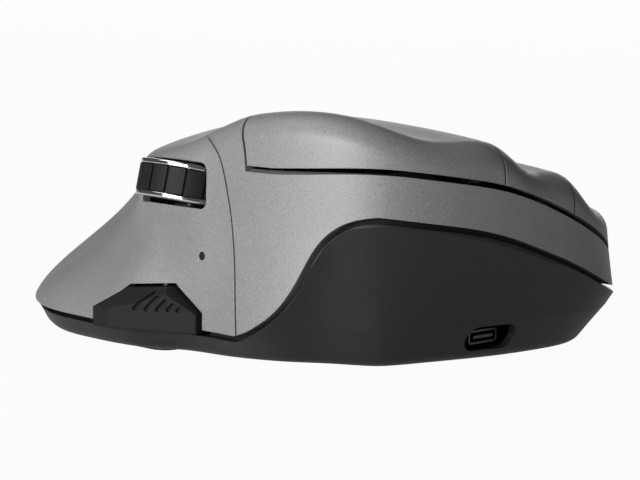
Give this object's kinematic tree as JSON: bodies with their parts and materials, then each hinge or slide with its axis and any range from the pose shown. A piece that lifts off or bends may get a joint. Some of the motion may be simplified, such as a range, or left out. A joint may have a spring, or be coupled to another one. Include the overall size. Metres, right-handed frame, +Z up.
{
  "type": "thumb-wheel ergonomic computer mouse",
  "caption": "Left-handed ergonomic wireless mouse with finger buttons, a thumb-operated scroll wheel and a two-way thumb rocker in a sculpted shell.",
  "frame": {"origin": "on the face of the sensor foot, the plane the mouse stands on, on the middle line just behind the sensor window", "axes": "+Z up, -Y toward the button tips, -X toward the thumb side"},
  "size_m": [0.0936, 0.1221, 0.0477],
  "materials": {
    "shell_grey": "satin metallic grey paint",
    "base_black": "fine satin",
    "gasket_black": "matte",
    "tyre_black": "smooth ribbed",
    "ring_chrome": "polished",
    "rocker_black": "soft matte",
    "inner_plastic": "moulded",
    "steel": "ground",
    "board_green": "solder-masked",
    "switch_body": "moulded",
    "lens_clear": "polished",
    "battery_wrap": "shrink wrap",
    "foot_ptfe": "slick"
  },
  "bodies": {
    "body": {"base_shell": "base_black", "battery": "battery_wrap", "battery_tray": "inner_plastic", "board_screw_1": "steel", "board_screw_2": "steel", "button_frame": "inner_plastic", "case_screw_heel": "steel", "case_screw_little_finger": "steel", "case_screw_palm": "steel", "case_screw_thumb_panel": "steel", "dpi_switch": "switch_body", "frame_screw_1": "steel", "frame_screw_2": "steel", "frame_screw_3": "steel", "frame_screw_4": "steel", "front_foot": "foot_ptfe", "index_hinge_pin": "steel", "index_switch": "switch_body", "index_switch_board": "board_green", "light_pipe": "lens_clear", "main_board": "board_green", "middle_hinge_pin": "steel", "middle_switch": "switch_body", "middle_switch_board": "board_green", "pairing_switch": "switch_body", "power_switch_body": "switch_body", "rear_foot": "foot_ptfe", "ring_hinge_pin": "steel", "ring_switch": "switch_body", "ring_switch_board": "board_green", "rocker_pin": "steel", "rocker_switch_front": "switch_body", "rocker_switch_rear": "switch_body", "seam_gasket": "gasket_black", "sensor_chip": "switch_body", "sensor_foot": "foot_ptfe", "sensor_lens": "lens_clear", "status_led": "lens_clear", "thumb_board": "board_green", "thumb_foot": "foot_ptfe", "thumb_panel": "shell_grey", "upper_shell": "shell_grey", "usb_socket": "steel", "wheel_axle": "steel", "wheel_carrier": "inner_plastic", "wheel_encoder": "switch_body"},
    "index": {"index_button": "shell_grey"},
    "middle": {"middle_button": "shell_grey"},
    "ring": {"ring_button": "shell_grey"},
    "wheel": {"wheel_hub": "inner_plastic", "wheel_tyre": "tyre_black", "wheel_ring_upper": "ring_chrome", "wheel_ring_lower": "ring_chrome"},
    "rocker": {"rocker_button": "rocker_black"},
    "power_knob": {"power_switch_knob": "inner_plastic"},
    "dpi": {"dpi_button": "inner_plastic"},
    "pairing": {"pairing_button": "inner_plastic"}
  },
  "joints": [
    {"name": "index_button_press", "type": "hinge", "parent": "body", "child": "index", "pos_m": [-0.017, -0.0145, 0.0388], "axis": [1, 0, 0], "range_deg": [0, 1.2], "stiffness_Nm_per_rad": 1, "springref_deg": -0.57},
    {"name": "middle_button_press", "type": "hinge", "parent": "body", "child": "middle", "pos_m": [0.0023, -0.0145, 0.03396], "axis": [1, 0, 0], "range_deg": [0, 1.2], "stiffness_Nm_per_rad": 1, "springref_deg": -0.57},
    {"name": "ring_button_press", "type": "hinge", "parent": "body", "child": "ring", "pos_m": [0.0205, -0.0145, 0.02638], "axis": [1, 0, 0], "range_deg": [0, 1.2], "stiffness_Nm_per_rad": 1, "springref_deg": -0.57},
    {"name": "wheel_spin", "type": "hinge", "parent": "body", "child": "wheel", "pos_m": [-0.0325, -0.0004, 0.031], "axis": [0.2419, 0, 0.9703], "continuous": true},
    {"name": "rocker_tilt", "type": "hinge", "parent": "body", "child": "rocker", "pos_m": [-0.04, -0.0012, 0.009], "axis": [0, 0, 1], "range_deg": [-2.5, 2.5], "stiffness_Nm_per_rad": 0.5},
    {"name": "power_switch_slide", "type": "slide", "parent": "body", "child": "power_knob", "axis": [1, 0, 0], "range_m": [0, 0.0024]},
    {"name": "dpi_button_press", "type": "slide", "parent": "body", "child": "dpi", "axis": [0, 0, 1], "range_m": [0, 0.0004], "stiffness_N_per_m": 800, "springref_m": -0.0001},
    {"name": "pairing_button_press", "type": "slide", "parent": "body", "child": "pairing", "axis": [0, 0, 1], "range_m": [0, 0.0004], "stiffness_N_per_m": 800, "springref_m": -0.0001}
  ]
}
